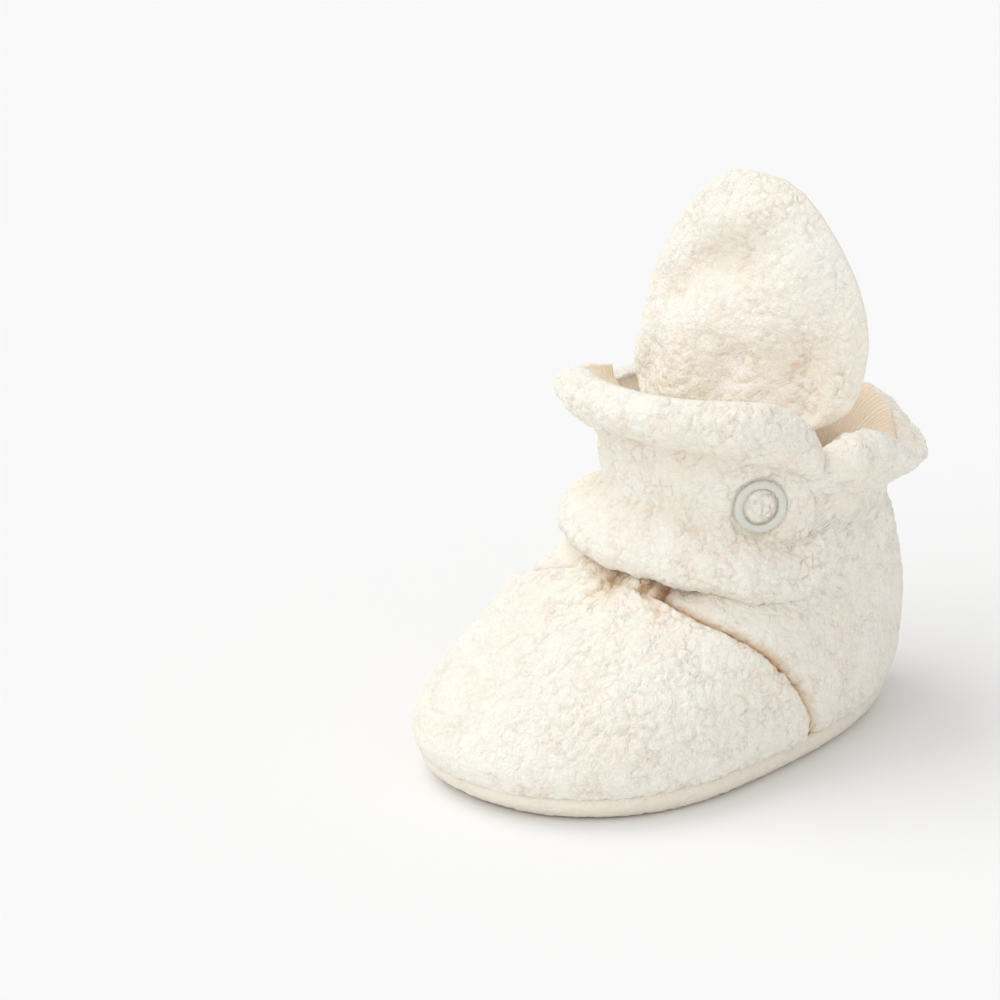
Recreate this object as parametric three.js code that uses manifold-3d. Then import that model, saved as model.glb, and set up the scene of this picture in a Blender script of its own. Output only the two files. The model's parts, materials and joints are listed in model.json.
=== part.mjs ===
// Soft baby bootie for the left foot, in millimetres.
// +Z is up, the toe points to -Y, and the outer side of the foot is towards +X.
// A fleece toe piece runs up into a tall tongue, a fleece heel piece wraps the ankle as a flared collar,
// and a padded strap crosses the instep from the inner side and closes with a ring snap on the outer side.
// The origin is on the ground, under the middle of the bootie.
import * as THREE from "three";
import { mergeVertices } from "three/addons/utils/BufferGeometryUtils.js";
import Module from "manifold-3d";

const wasm = await Module();
wasm.setup();

// ---------- driving dimensions ----------
const GAP = 0.3; // air between two pieces that touch
const FLEECE = 2.6; // outer fleece
const LINING = 1.0; // jersey lining
const SOLE = 3.0; // outsole fabric, doubled and turned up at the edge
const PADDING = 3.0; // wadding under the foot
const INSOLE = 1.4; // lined footbed

const HALF_WIDTH = 34; // widest half width, over the ball of the foot
const TOE_Y = -51; // foremost point
const HEEL_Y = 57.5; // rearmost point
const THROAT_Z = 33.4; // where the toe piece ends and the strap begins

const NECK = { front: -6, back: 50, widest: 22, half: 26 }; // outline of the snapped band
const NECK_Z = 46.5;
const RIM_Z = 59; // top of the flared collar
const RIM_FLARE = 8.5; // how far the collar's rim stands out from the band

const STRAP_ROOT = -80; // degrees round the ankle from the toe, inner side
const STRAP_BEND = -35; // where the strap folds open
const STRAP_END = 79; // free end, outer side
// Along the strap: angle, foot, top of the lower flap, foot of the upper roll, top, and how far it lies in.
const STRAP_LINE = [
  [-80, 36, 46.5, 56.5, 64.5, 0], [-60, 36, 47, 57.5, 65.5, -1.5], [-45, 36, 47.5, 58.5, 66.5, -3.2],
  [-30, 36.2, 48.3, 59.3, 68, -3], [-10, 36.6, 49.3, 60.2, 69.5, -1], [20, 36.5, 49.4, 60.6, 70.3, 0],
  [40, 34.8, 47, 58.6, 71, 0], [60, 34, 44.5, 56, 70.5, 0], [70, 34, 43, 54, 66.5, 0],
  [79, 34.5, 42, 52, 60, 0],
];
const STRAP_LIFT = 1.5; // how far the free end rides up over the heel piece
const STRAP_WALL = 3.7; // strap shell, gap and lining at the band

const UNDERLAP_D = -STRAP_WALL - 1.9; // outer face of the tab that lies under the strap
const UNDERLAP_TIP = -20; // degrees
const ELASTIC = { thick: 1.0, tall: 6 };

// The tongue folds on a line behind the tab, and may lean back further than it stands by a few degrees.
const TONGUE = {
  thick: 2.4, lining: 1.0, lean: 19, behind: 7.1, fold: 60.2, length: 46.5, half: 24, bow: 38, back: 18,
};
const TONGUE_FOOT = { behind: 2.6, half: 8.5, spread: 3.2, bow: 15, opens: 14 };

const SNAP = { at: 55, z: 49.8, ring: 5.0, hole: 3.6, rise: 0.5, prongs: 5, prong: 0.45 };
const SOCKET = { radius: 4.6, bore: 2.9, plate: 0.4, deep: 1.5, behind: 0.2 };
const STUD = { radius: 4.3, post: 1.9, plate: 0.8, sunk: 0.9, reach: 0.8 };
const SEAT = 0.9; // depth of the ring's seat in the pile
const BACK_RING = 1.1; // thickness of the ring behind the tab
const PRONG_CLEAR = 0.1; // from the ring's prongs to the strap's lining
const PRONG_INSET = 0.6; // the stud's prongs stand on a smaller circle than the socket's
const CURVE_AT_SNAP = 21.225; // radius of the tightest curve of the band near the snap
const COLLAR_CLEAR = 1.2; // the collar starts this far behind the strap's free end

// ---------- materials ----------
const fleece = new THREE.MeshStandardMaterial({ color: 0xf8efe0, roughness: 0.95, metalness: 0 });
const jersey = new THREE.MeshStandardMaterial({ color: 0xf3d9c0, roughness: 0.9, metalness: 0 });
const soleCloth = new THREE.MeshStandardMaterial({ color: 0xf1eadd, roughness: 0.9, metalness: 0 });
const wadding = new THREE.MeshStandardMaterial({ color: 0xffffff, roughness: 1, metalness: 0 });
const webbing = new THREE.MeshStandardMaterial({ color: 0xf4f4f2, roughness: 0.8, metalness: 0 });
const enamel = new THREE.MeshStandardMaterial({ color: 0xe4e6e1, roughness: 0.35, metalness: 0.2 });
const steel = new THREE.MeshStandardMaterial({ color: 0xc9cbcc, roughness: 0.3, metalness: 1 });

const bootie = new THREE.Group();

// ---------- solids ----------
const rad = THREE.MathUtils.degToRad;

function solid(geometry) {
  const g = geometry.clone();
  for (const name of ["normal", "uv"]) g.deleteAttribute(name);
  const merged = mergeVertices(g, 1e-4);
  return new wasm.Manifold(
    new wasm.Mesh({
      numProp: 3,
      vertProperties: merged.attributes.position.array,
      triVerts: new Uint32Array(merged.index.array),
    }),
  );
}

function add(name, made, material) {
  const m = made.getMesh();
  const g = new THREE.BufferGeometry();
  g.setAttribute("position", new THREE.BufferAttribute(new Float32Array(m.vertProperties), 3));
  g.setIndex(new THREE.BufferAttribute(new Uint32Array(m.triVerts), 1));
  const mesh = new THREE.Mesh(g, material);
  mesh.name = name;
  bootie.add(mesh);
  return mesh;
}

// A closed body through a list of sections, each a list of THREE.Vector3 with the same count.
function skin(sections) {
  const n = sections[0].length;
  const points = sections.flat();
  const faces = [];
  for (let i = 0; i + 1 < sections.length; i++)
    for (let j = 0; j < n; j++) {
      const [a, b] = [i * n + j, i * n + ((j + 1) % n)];
      faces.push(a, b, b + n, a, b + n, a + n);
    }
  const last = (sections.length - 1) * n;
  for (const [a, b, c] of capOf(sections[0])) faces.push(a, c, b);
  for (const [a, b, c] of capOf(sections[sections.length - 1])) faces.push(last + a, last + b, last + c);
  const g = new THREE.BufferGeometry();
  g.setAttribute("position", new THREE.Float32BufferAttribute(points.flatMap((p) => p.toArray()), 3));
  g.setIndex(faces);
  const made = solid(g.toNonIndexed());
  return made.volume() < 0 ? solid(flipped(g)) : made;
}

// Triangles that close a section, which may be hollow-sided, worked out in its own plane.
function capOf(section) {
  const normal = new THREE.Vector3();
  section.forEach((p, i) => {
    normal.add(new THREE.Vector3().crossVectors(p, section[(i + 1) % section.length]));
  });
  const turn = new THREE.Quaternion().setFromUnitVectors(normal.normalize(), new THREE.Vector3(0, 0, 1));
  const flat = section.map((p) => p.clone().applyQuaternion(turn)).map((p) => new THREE.Vector2(p.x, p.y));
  return THREE.ShapeUtils.triangulateShape(flat, []);
}

function flipped(g) {
  const index = Array.from(g.index.array);
  for (let i = 0; i < index.length; i += 3) [index[i + 1], index[i + 2]] = [index[i + 2], index[i + 1]];
  const turned = new THREE.BufferGeometry().setAttribute("position", g.attributes.position);
  return turned.setIndex(index).toNonIndexed();
}

// ---------- the foot's outer form ----------
// Level outlines from the ground up: height, foremost, rearmost and widest place, and half width.
const LEVELS = [
  [0, TOE_Y + 5, HEEL_Y - 6.5, -12, HALF_WIDTH - 4],
  [4, TOE_Y + 1, HEEL_Y - 3.5, -12, HALF_WIDTH - 1.5],
  [10, TOE_Y, HEEL_Y - 1, -9, HALF_WIDTH],
  [18, TOE_Y + 8, HEEL_Y, -2, HALF_WIDTH - 1],
  [26, TOE_Y + 24, HEEL_Y, 8, HALF_WIDTH - 3],
  [THROAT_Z, TOE_Y + 39.5, HEEL_Y - 1.5, 17, HALF_WIDTH - 5.5],
  [39, NECK.front + 2, HEEL_Y - 4, 21, NECK.half + 1.5],
  [NECK_Z, NECK.front + 2, NECK.back, NECK.widest, NECK.half],
  [50, NECK.front + 1, NECK.back + 1, NECK.widest, NECK.half + 0.8],
  [55, NECK.front - 2, NECK.back + 0.75 * RIM_FLARE, NECK.widest, NECK.half + 0.75 * RIM_FLARE],
  [RIM_Z, NECK.front - 2, NECK.back + RIM_FLARE, NECK.widest, NECK.half + RIM_FLARE],
];
const FRONT_ROUND = 2.15; // exponents of the outline: 2 is an ellipse, more is squarer
const BACK_ROUND = 2.5;
const AROUND = 40; // points round an outline
const LEVEL_STEP = 3.6; // all walls share these heights, so that their facets run parallel

// Catmull-Rom between the levels, so that the wall has no kinks.
function level(z) {
  const k = Math.min(Math.max(LEVELS.findIndex((l) => l[0] > z), 1), LEVELS.length - 1);
  const at = (i) => LEVELS[Math.min(Math.max(i, 0), LEVELS.length - 1)];
  const [p, a, b, n] = [at(k - 2), at(k - 1), at(k), at(k + 1)];
  const t = Math.min(Math.max((z - a[0]) / (b[0] - a[0]), 0), 1);
  const value = (c) => {
    const m0 = (b[c] - p[c]) / Math.max(b[0] - p[0], 1e-6);
    const m1 = (n[c] - a[c]) / Math.max(n[0] - a[0], 1e-6);
    const h = b[0] - a[0];
    return (
      (2 * t ** 3 - 3 * t ** 2 + 1) * a[c] + (t ** 3 - 2 * t ** 2 + t) * h * m0 +
      (-2 * t ** 3 + 3 * t ** 2) * b[c] + (t ** 3 - t ** 2) * h * m1
    );
  };
  return { front: value(1), back: value(2), widest: value(3), half: value(4) };
}

// The point of an outline at an angle from the toe, moved outwards by d.
function onOutline(o, degrees, d, z) {
  const [s, c] = [Math.sin(rad(degrees)), Math.cos(rad(degrees))];
  const power = 2 / (c > 0 ? FRONT_ROUND : BACK_ROUND);
  const along = c > 0 ? o.widest - o.front : o.back - o.widest;
  const x = (o.half + d) * Math.sign(s) * Math.abs(s) ** power;
  const y = o.widest - (along + d) * Math.sign(c) * Math.abs(c) ** power;
  return new THREE.Vector3(x, y, z);
}

// The foot's form, shrunk by a depth that may change with height, and its slice between two heights.
function form(depth) {
  const sections = [];
  for (let z = -LEVEL_STEP; z < RIM_Z + 2 * LEVEL_STEP; z += LEVEL_STEP) {
    const d = -(typeof depth === "function" ? depth(z) : depth);
    sections.push(Array.from({ length: AROUND }, (_, j) => onOutline(level(z), (360 * j) / AROUND, d, z)));
  }
  return skin(sections);
}

function slice(made, from, to) {
  const g = new THREE.BoxGeometry(200, 200, to - from);
  g.translate(0, 0, (from + to) / 2);
  return made.intersect(solid(g));
}

// A wall between two depths of the form.
const wall = (from, to, outside, inside) => slice(form(outside).subtract(form(inside)), from, to);

// A slab right across the bootie, from a closed outline of (y, z) points.
function sideSlab(points) {
  const shape = new THREE.Shape(points.map(([y, z]) => new THREE.Vector2(y, z)));
  const g = new THREE.ExtrudeGeometry(shape, { depth: 4 * HALF_WIDTH, bevelEnabled: false });
  g.applyMatrix4(new THREE.Matrix4().makeBasis(
    new THREE.Vector3(0, 1, 0), new THREE.Vector3(0, 0, 1), new THREE.Vector3(1, 0, 0),
  ));
  g.translate(-2 * HALF_WIDTH, 0, 0);
  return solid(g);
}

// ---------- the band round the ankle ----------
// A value of the strap's line at an angle: 1 foot, 2 flap, 3 roll, 4 top, 5 inset.
function strapLine(column, angle) {
  const k = Math.min(Math.max(STRAP_LINE.findIndex((l) => l[0] > angle), 1), STRAP_LINE.length - 1);
  const [a, b] = [STRAP_LINE[k - 1], STRAP_LINE[k]];
  const t = Math.min(Math.max((angle - a[0]) / (b[0] - a[0]), 0), 1);
  return a[column] + (b[column] - a[column]) * t * t * (3 - 2 * t);
}

// A section of (d, z) points swept round the neck between two angles.
function swept(from, to, section, step = 7) {
  const count = Math.max(2, Math.ceil(Math.abs(to - from) / step));
  return skin(
    Array.from({ length: count + 1 }, (_, i) => {
      const angle = from + ((to - from) * i) / count;
      return section(angle).map(([d, z]) => onOutline(NECK, angle, d + strapLine(5, angle), z));
    }),
  );
}

// ---------- sole, wadding and footbed ----------
const UPPER_Z = SOLE + GAP;
const WALL = FLEECE + GAP + LINING;
add("outsole", slice(form(0), 0, SOLE), soleCloth);
const padding_top = UPPER_Z + PADDING;
const insole_low = padding_top + GAP;
add("sole_padding", slice(form(WALL + GAP), UPPER_Z, padding_top), wadding);
add("insole_lining", slice(form(WALL + GAP), insole_low, insole_low + INSOLE), jersey);

// ---------- toe piece and heel piece ----------
const SEAM = [[9, -5], [9, 3], [7.5, 10], [3.5, 17], [-2, 24], [-9, 30], [-11, THROAT_Z]];
const shifted = (points, dy) => points.map(([y, z]) => [y + dy, z]);
const toe_region = sideSlab([...SEAM, [-90, THROAT_Z], [-90, -5]]);
const heel_low = sideSlab([...shifted(SEAM, GAP), [-11 + GAP, THROAT_Z], [90, THROAT_Z], [90, -5]]);
const open_front = onOutline(NECK, STRAP_END, 0, 0).y + COLLAR_CLEAR;
const heel_high = sideSlab([[open_front, THROAT_Z - 1], [90, THROAT_Z - 1], [90, 90], [open_front, 90]]);
const heel_region = heel_low.add(heel_high);
const lining_depth = (z) => {
  const past = (Math.abs(z - NECK_Z) - ELASTIC.tall / 2 - LEVEL_STEP) / (2 * LEVEL_STEP);
  return FLEECE + GAP + (ELASTIC.thick + GAP) * Math.min(Math.max(1 - past, 0), 1);
};
const lining_inside = (z) => lining_depth(z) + LINING;

add("toe_shell", wall(UPPER_Z, THROAT_Z, 0, FLEECE).intersect(toe_region), fleece);
add("toe_lining", wall(UPPER_Z, THROAT_Z, FLEECE + GAP, WALL).intersect(toe_region), jersey);
add("heel_shell", wall(UPPER_Z, RIM_Z, 0, FLEECE).intersect(heel_region), fleece);
add("heel_lining", wall(UPPER_Z, RIM_Z - 0.6, lining_depth, lining_inside).intersect(heel_region), jersey);

const elastic_depth = FLEECE + GAP;
const elastic_region = sideSlab([[30, 0], [90, 0], [90, 90], [30, 90]]);
add("ankle_elastic",
  wall(NECK_Z - ELASTIC.tall / 2, NECK_Z + ELASTIC.tall / 2, elastic_depth, elastic_depth + ELASTIC.thick)
    .intersect(elastic_region), webbing);

// ---------- strap ----------
// From the foot up: place among the strap's four heights, and how far its outer and inner faces stand out.
const STRAP_PROFILE = [
  [0, 5.0, 2.6], [0.15, 7.6, 1.4], [0.4, 6.8, -1.0], [0.75, 3.2, -3.3], [1, 0.2, -STRAP_WALL],
  [1.5, 0, -STRAP_WALL], [2, 0.3, -STRAP_WALL], [2.2, 5.0, -3.2], [2.45, 8.0, -1.8], [2.7, 8.0, -0.6],
  [2.9, 6.0, 0.8], [3, 4.2, 1.8],
];
const lift = (angle) => (STRAP_LIFT * (angle - STRAP_ROOT)) / (STRAP_END - STRAP_ROOT);
const strapSection = (outer, inner) => (angle) => {
  const heights = [1, 2, 3, 4].map((column) => strapLine(column, angle));
  const at = (u) => {
    const k = Math.min(Math.floor(u), 2);
    return heights[k] + (heights[k + 1] - heights[k]) * (u - k);
  };
  const up = lift(angle);
  return [
    ...STRAP_PROFILE.map(([u, out, inn]) => [outer(out, inn) + up, at(u)]),
    ...[...STRAP_PROFILE].reverse().map(([u, out, inn]) => [inner(out, inn) + up, at(u)]),
  ];
};
const shell_section = strapSection((out) => out, (out, inn) => inn + LINING + GAP);
const lining_section = strapSection((out, inn) => inn + LINING, (out, inn) => inn);
const ring_at = onOutline(NECK, SNAP.at, lift(SNAP.at), SNAP.z);
const ahead = onOutline(NECK, SNAP.at + 1, lift(SNAP.at), SNAP.z).sub(ring_at).normalize();
const snap_axis = new THREE.Vector3(-ahead.y, ahead.x, 0).multiplyScalar(-1); // outwards

// A round piece on the snap's axis, from one depth to another, seen from outside.
function onSnap(radius, from, to, sides = 24) {
  const g = new THREE.CylinderGeometry(radius, radius, to - from, sides);
  g.translate(0, (from + to) / 2, 0);
  g.applyQuaternion(new THREE.Quaternion().setFromUnitVectors(new THREE.Vector3(0, 1, 0), snap_axis));
  g.translate(ring_at.x, ring_at.y, ring_at.z);
  return solid(g);
}

// The prongs stand in a circle on a ring and hold it to its mate through the cloth.
function prongs(circle, radius, from, to) {
  const up = new THREE.Vector3(0, 0, 1);
  const side = new THREE.Vector3().crossVectors(up, snap_axis);
  let made = null;
  for (let i = 0; i < SNAP.prongs; i++) {
    const a = (2 * Math.PI * i) / SNAP.prongs;
    const at = side.clone().multiplyScalar(circle * Math.cos(a)).addScaledVector(up, circle * Math.sin(a));
    const one = onSnap(radius, from, to, 8).translate(at.toArray());
    made = made ? made.add(one) : one;
  }
  return made;
}

const PRONG_CIRCLE = (SNAP.ring + SNAP.hole) / 2;
const strap_holes = onSnap(SNAP.ring + GAP, -SEAT - GAP, 12).add(
  prongs(PRONG_CIRCLE, SNAP.prong + GAP, -STRAP_WALL - 1, 0),
);
const socket_pocket = onSnap(SOCKET.radius + GAP, -12, LINING + GAP - STRAP_WALL);
const bend_gap = 0.6; // degrees either side of the fold
const snap_room = strap_holes.add(socket_pocket);
add("strap_shell", swept(STRAP_BEND + bend_gap, STRAP_END, shell_section).subtract(snap_room), fleece);
add("strap_lining", swept(STRAP_BEND + bend_gap, STRAP_END, lining_section).subtract(snap_room), jersey);
add("strap_root_shell", swept(STRAP_ROOT + 1, STRAP_BEND - bend_gap, shell_section), fleece);
add("strap_root_lining", swept(STRAP_ROOT + 1, STRAP_BEND - bend_gap, lining_section), jersey);

// ---------- tab under the strap ----------
const TAB = { foot: 36.5, top: 58 };
const tabBox = (d, thick) => () => [
  [d, TAB.foot], [d, TAB.top], [d - thick, TAB.top], [d - thick, TAB.foot],
];
const stud_seat = onSnap(STUD.radius + GAP, UNDERLAP_D - 2.2, 0);
const tab_holes = prongs(PRONG_CIRCLE - PRONG_INSET, SNAP.prong + GAP, UNDERLAP_D - 8, 0);
const back_hole = onSnap(SNAP.ring + 1.5 * GAP, UNDERLAP_D - 9, UNDERLAP_D - FLEECE - 0.15);
const tab_root = STRAP_END + 3;
add("underlap_shell",
  swept(UNDERLAP_TIP, tab_root, tabBox(UNDERLAP_D, FLEECE)).subtract(stud_seat).subtract(tab_holes), fleece);
add("underlap_lining",
  swept(UNDERLAP_TIP, tab_root, tabBox(UNDERLAP_D - FLEECE - GAP, LINING)).subtract(back_hole), jersey);

// ---------- snap ----------
const ring_base = -SEAT;
add("snap_ring",
  onSnap(SNAP.ring, ring_base, SNAP.rise).subtract(onSnap(SNAP.hole, ring_base - 1, SNAP.rise + 1))
    .add(prongs(PRONG_CIRCLE, SNAP.prong, LINING - STRAP_WALL + PRONG_CLEAR, ring_base + 0.2)), enamel);
const socket_top = LINING - STRAP_WALL - SOCKET.behind;
const socket_low = socket_top - SOCKET.plate - SOCKET.deep;
add("snap_socket",
  onSnap(SOCKET.radius, socket_low, socket_top)
    .subtract(onSnap(SOCKET.bore, socket_low - 1, socket_top - SOCKET.plate)),
  steel);
const lift_at_snap = lift(SNAP.at);
const stud_base = UNDERLAP_D - lift_at_snap - STUD.sunk;
add("snap_stud", onSnap(STUD.radius, stud_base, stud_base + STUD.plate)
  .add(onSnap(STUD.post, stud_base + STUD.plate / 2, socket_low + STUD.reach)), steel);
const bow_of_tab = SNAP.ring ** 2 / (2 * (CURVE_AT_SNAP + UNDERLAP_D)); // falls away under the ring
const back_top = UNDERLAP_D - lift_at_snap - FLEECE - GAP - bow_of_tab;
add("snap_back_ring", onSnap(SNAP.ring, back_top - BACK_RING, back_top)
  .subtract(onSnap(SNAP.hole, back_top - 2 * BACK_RING, back_top + BACK_RING))
  .add(prongs(PRONG_CIRCLE - PRONG_INSET, SNAP.prong, back_top - 0.2, stud_base - GAP)), enamel);

// ---------- tongue ----------
// Two layers that run up from the throat, lean back, and fold on a line just above the band.
const TONGUE_STEPS = 8;
function tongueLayer(from, to, halfAt, centreAt, bowAt, depth, thick) {
  const across = 8;
  return skin(
    Array.from({ length: TONGUE_STEPS + 1 }, (_, i) => {
      const v = from + ((to - from) * i) / TONGUE_STEPS;
      const [half, centre, bow] = [halfAt(v), centreAt(v), bowAt(v)];
      const row = (d) =>
        Array.from({ length: across + 1 }, (_, j) => {
          const x = half * ((2 * j) / across - 1);
          return new THREE.Vector3(x, centre[0] + d + (x * x) / (2 * bow), centre[1]);
        });
      return [...row(depth), ...row(depth + thick).reverse()];
    }),
  );
}
const tab_inside = UNDERLAP_D - FLEECE - GAP - LINING;
const hinge_y = NECK.front - tab_inside + TONGUE.behind;
const lean = Math.tan(rad(TONGUE.lean));
const bladeHalf = (v) => {
  const t = v / TONGUE.length;
  const round = Math.sqrt(Math.max(0.03, 1 - Math.max(0, (t - 0.1) / 0.9) ** 2.4));
  return TONGUE.half * round * (0.9 + 0.1 * Math.min(1, t / 0.28));
};
const bladeCentre = (v) => [hinge_y + (v + 0.6) * lean, TONGUE.fold + v + 0.6];
const bladeBow = () => TONGUE.bow;
const lining_at = TONGUE.thick + GAP;
add("tongue_shell", tongueLayer(0, TONGUE.length, bladeHalf, bladeCentre, bladeBow, 0, TONGUE.thick), fleece);
add("tongue_lining",
  tongueLayer(0, TONGUE.length, bladeHalf, bladeCentre, bladeBow, lining_at, TONGUE.lining), jersey);
const root_foot = THROAT_Z + 1.0;
const root_y = NECK.front - tab_inside + TONGUE_FOOT.behind;
const root_top = TONGUE.fold - GAP;
const rootHalf = (v) => TONGUE_FOOT.half + TONGUE_FOOT.spread * v * v;
const rootCentre = (v) => [root_y + (hinge_y - root_y) * v ** 1.5, root_foot + (root_top - root_foot) * v];
const rootBow = (v) => TONGUE_FOOT.bow + TONGUE_FOOT.opens * v;
const below_fold = sideSlab([
  [hinge_y - 60, 0], [hinge_y + 60, 0], [hinge_y + 60, root_top - 60 * Math.tan(rad(TONGUE.back))],
  [hinge_y, root_top], [hinge_y - 60, root_top],
]);
add("tongue_root_shell",
  tongueLayer(0, 1, rootHalf, rootCentre, rootBow, 0, TONGUE.thick).intersect(below_fold), fleece);
add("tongue_root_lining",
  tongueLayer(0, 1, rootHalf, rootCentre, rootBow, lining_at, TONGUE.lining).intersect(below_fold), jersey);

export default bootie;
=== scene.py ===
"""Looks for a soft fleece baby bootie: a toe piece with a tall tongue, a heel piece with a flared collar,
and a padded strap that closes on the outer side with a ring snap. Sizes in the sections are millimetres."""

import json
import math

import bpy
import numpy as np
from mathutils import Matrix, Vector, noise


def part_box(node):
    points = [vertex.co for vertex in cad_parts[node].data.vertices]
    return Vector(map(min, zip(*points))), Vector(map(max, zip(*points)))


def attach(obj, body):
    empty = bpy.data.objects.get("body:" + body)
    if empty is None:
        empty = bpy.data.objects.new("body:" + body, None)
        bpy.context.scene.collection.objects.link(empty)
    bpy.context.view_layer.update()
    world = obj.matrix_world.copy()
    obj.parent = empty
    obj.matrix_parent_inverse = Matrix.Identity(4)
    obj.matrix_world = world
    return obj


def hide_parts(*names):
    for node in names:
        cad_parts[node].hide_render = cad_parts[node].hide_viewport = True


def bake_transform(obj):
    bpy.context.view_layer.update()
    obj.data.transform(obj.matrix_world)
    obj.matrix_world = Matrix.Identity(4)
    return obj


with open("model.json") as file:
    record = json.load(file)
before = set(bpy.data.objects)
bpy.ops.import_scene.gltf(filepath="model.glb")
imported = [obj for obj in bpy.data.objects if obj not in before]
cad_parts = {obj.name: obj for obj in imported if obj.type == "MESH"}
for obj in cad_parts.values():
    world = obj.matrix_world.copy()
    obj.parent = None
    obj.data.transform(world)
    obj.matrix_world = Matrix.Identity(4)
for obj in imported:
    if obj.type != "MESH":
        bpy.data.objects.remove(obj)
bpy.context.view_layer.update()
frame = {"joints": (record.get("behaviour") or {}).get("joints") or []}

# ---------- camera ----------
# A long lens three quarters from the front, on the outer side, a little above the bootie.
CAMERA_AZIMUTH = math.radians(42)
CAMERA_HEIGHT = math.radians(22)
CAMERA_DISTANCE = 0.7
backwards = Vector((
    math.sin(CAMERA_AZIMUTH) * math.cos(CAMERA_HEIGHT),
    -math.cos(CAMERA_AZIMUTH) * math.cos(CAMERA_HEIGHT),
    math.sin(CAMERA_HEIGHT),
))
lens = bpy.data.cameras.new("lens")
lens.lens = 129.8
lens.sensor_width = 36
lens.shift_x = -0.154
lens.shift_y = 0.232
lens.clip_start = 0.01
camera = bpy.data.objects.new("camera", lens)
bpy.context.scene.collection.objects.link(camera)
camera.location = backwards * CAMERA_DISTANCE
camera.rotation_euler = backwards.to_track_quat("Z", "Y").to_euler()
bpy.context.scene.camera = camera


# ---------- floor and light ----------
# A pale seamless floor in an evenly lit white studio, with three broad soft lights: one from the ceiling,
# one from a window in front, and a weak fill on the outer side.
def linear(code):
    """A hex colour, as a designer writes it, in the renderer's linear values."""
    parts = [int(code[i:i + 2], 16) / 255 for i in (1, 3, 5)]
    return [c / 12.92 if c <= 0.04045 else ((c + 0.055) / 1.055) ** 2.4 for c in parts] + [1.0]


def add_node(material, kind, settings=None, **links):
    """A node with its properties and inputs set; an input given another node's output is linked to it."""
    node = material.node_tree.nodes.new(kind)
    settings = {**(settings or {}), **{name.replace("_", " "): source for name, source in links.items()}}
    for name, value in settings.items():
        if isinstance(value, bpy.types.NodeSocket):
            material.node_tree.links.new(value, node.inputs[name])
        elif isinstance(name, int) or name in node.inputs:
            node.inputs[name].default_value = value
        else:
            setattr(node, name, value)
    return node


def new_material(name):
    material = bpy.data.materials.new(name)
    material.use_nodes = True
    material.node_tree.nodes.clear()
    return material


floor_paint = new_material("matt_white_floor")
floor_cloth = add_node(floor_paint, "ShaderNodeBsdfPrincipled", {
    "Base Color": linear("#F4F4F4"), "Roughness": 0.9, "Specular IOR Level": 0.1,
})
add_node(floor_paint, "ShaderNodeOutputMaterial", Surface=floor_cloth.outputs[0])
bpy.ops.object.select_all(action="DESELECT")
bpy.ops.mesh.primitive_plane_add(size=12, location=(0, 0, 0))
floor = bpy.context.object
floor.name = "floor"
floor.data.materials.append(floor_paint)

sky = bpy.data.worlds.new("studio")
sky.use_nodes = True
sky.node_tree.nodes["Background"].inputs["Color"].default_value = linear("#FFFFFF")
sky.node_tree.nodes["Background"].inputs["Strength"].default_value = 0.63
bpy.context.scene.world = sky
bpy.context.scene.view_settings.view_transform = "Standard"


def broad_light(name, strength, spread, place):
    """A soft distant light that shines from a place towards the origin, the same all over the floor."""
    light = bpy.data.lights.new(name, "SUN")
    light.energy, light.angle = strength, math.radians(spread)
    lamp = bpy.data.objects.new(name, light)
    bpy.context.scene.collection.objects.link(lamp)
    lamp.rotation_euler = Vector(place).to_track_quat("Z", "Y").to_euler()


broad_light("ceiling_light", 0.95, 45, (-0.6, -0.15, 1.0))
broad_light("window_light", 0.62, 50, (-0.15, -1.0, 0.75))
broad_light("fill_light", 0.34, 90, (1.0, -0.35, 0.45))


# ---------- outsole ----------
# Brushed cloth cut to the foot's outline, turned up a few millimetres all round and sewn to the upper.
# The seam is inside, so outside it shows as a pinched line above a smooth, slightly rounded edge.
MM = 0.001
TOE_Y, HEEL_Y = -51.0, 57.5
HALF_WIDTH = 34.0
THROAT_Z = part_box("toe_shell")[1][2] / MM
NECK_Z = 46.5
NECK = (-6.0, 50.0, 22.0, 26.0)  # front, back, widest place and half width of the snapped band
LEVELS = np.array([
    (-4, TOE_Y + 12, HEEL_Y - 13, -12, HALF_WIDTH - 11),
    (0, TOE_Y + 5, HEEL_Y - 6.5, -12, HALF_WIDTH - 4),
    (4, TOE_Y + 1, HEEL_Y - 3.5, -12, HALF_WIDTH - 1.5),
    (10, TOE_Y, HEEL_Y - 1, -9, HALF_WIDTH),
    (18, TOE_Y + 8, HEEL_Y, -2, HALF_WIDTH - 1),
    (26, TOE_Y + 24, HEEL_Y, 8, HALF_WIDTH - 3),
    (33.4, TOE_Y + 39.5, HEEL_Y - 1.5, 17, HALF_WIDTH - 5.5),
    (39, NECK[0] + 2, HEEL_Y - 4, 21, NECK[3] + 1.5),
    (46.5, NECK[0] + 2, NECK[1], NECK[2], NECK[3]),
    (60, NECK[0] + 2, NECK[1], NECK[2], NECK[3]),
], float)


def level(z):
    """Foremost, rearmost and widest place and half width of the foot's form at a height, without kinks."""
    zs = LEVELS[:, 0]
    k = int(np.clip(np.searchsorted(zs, z, side="right"), 1, len(zs) - 1))
    p, a, b, n = (LEVELS[min(max(i, 0), len(zs) - 1)] for i in (k - 2, k - 1, k, k + 1))
    h = b[0] - a[0]
    t = np.clip((z - a[0]) / h, 0, 1)
    m0 = (b[1:] - p[1:]) / max(b[0] - p[0], 1e-6)
    m1 = (n[1:] - a[1:]) / max(n[0] - a[0], 1e-6)
    return ((2 * t**3 - 3 * t**2 + 1) * a[1:] + (t**3 - 2 * t**2 + t) * h * m0
            + (-2 * t**3 + 3 * t**2) * b[1:] + (t**3 - t**2) * h * m1)


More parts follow.
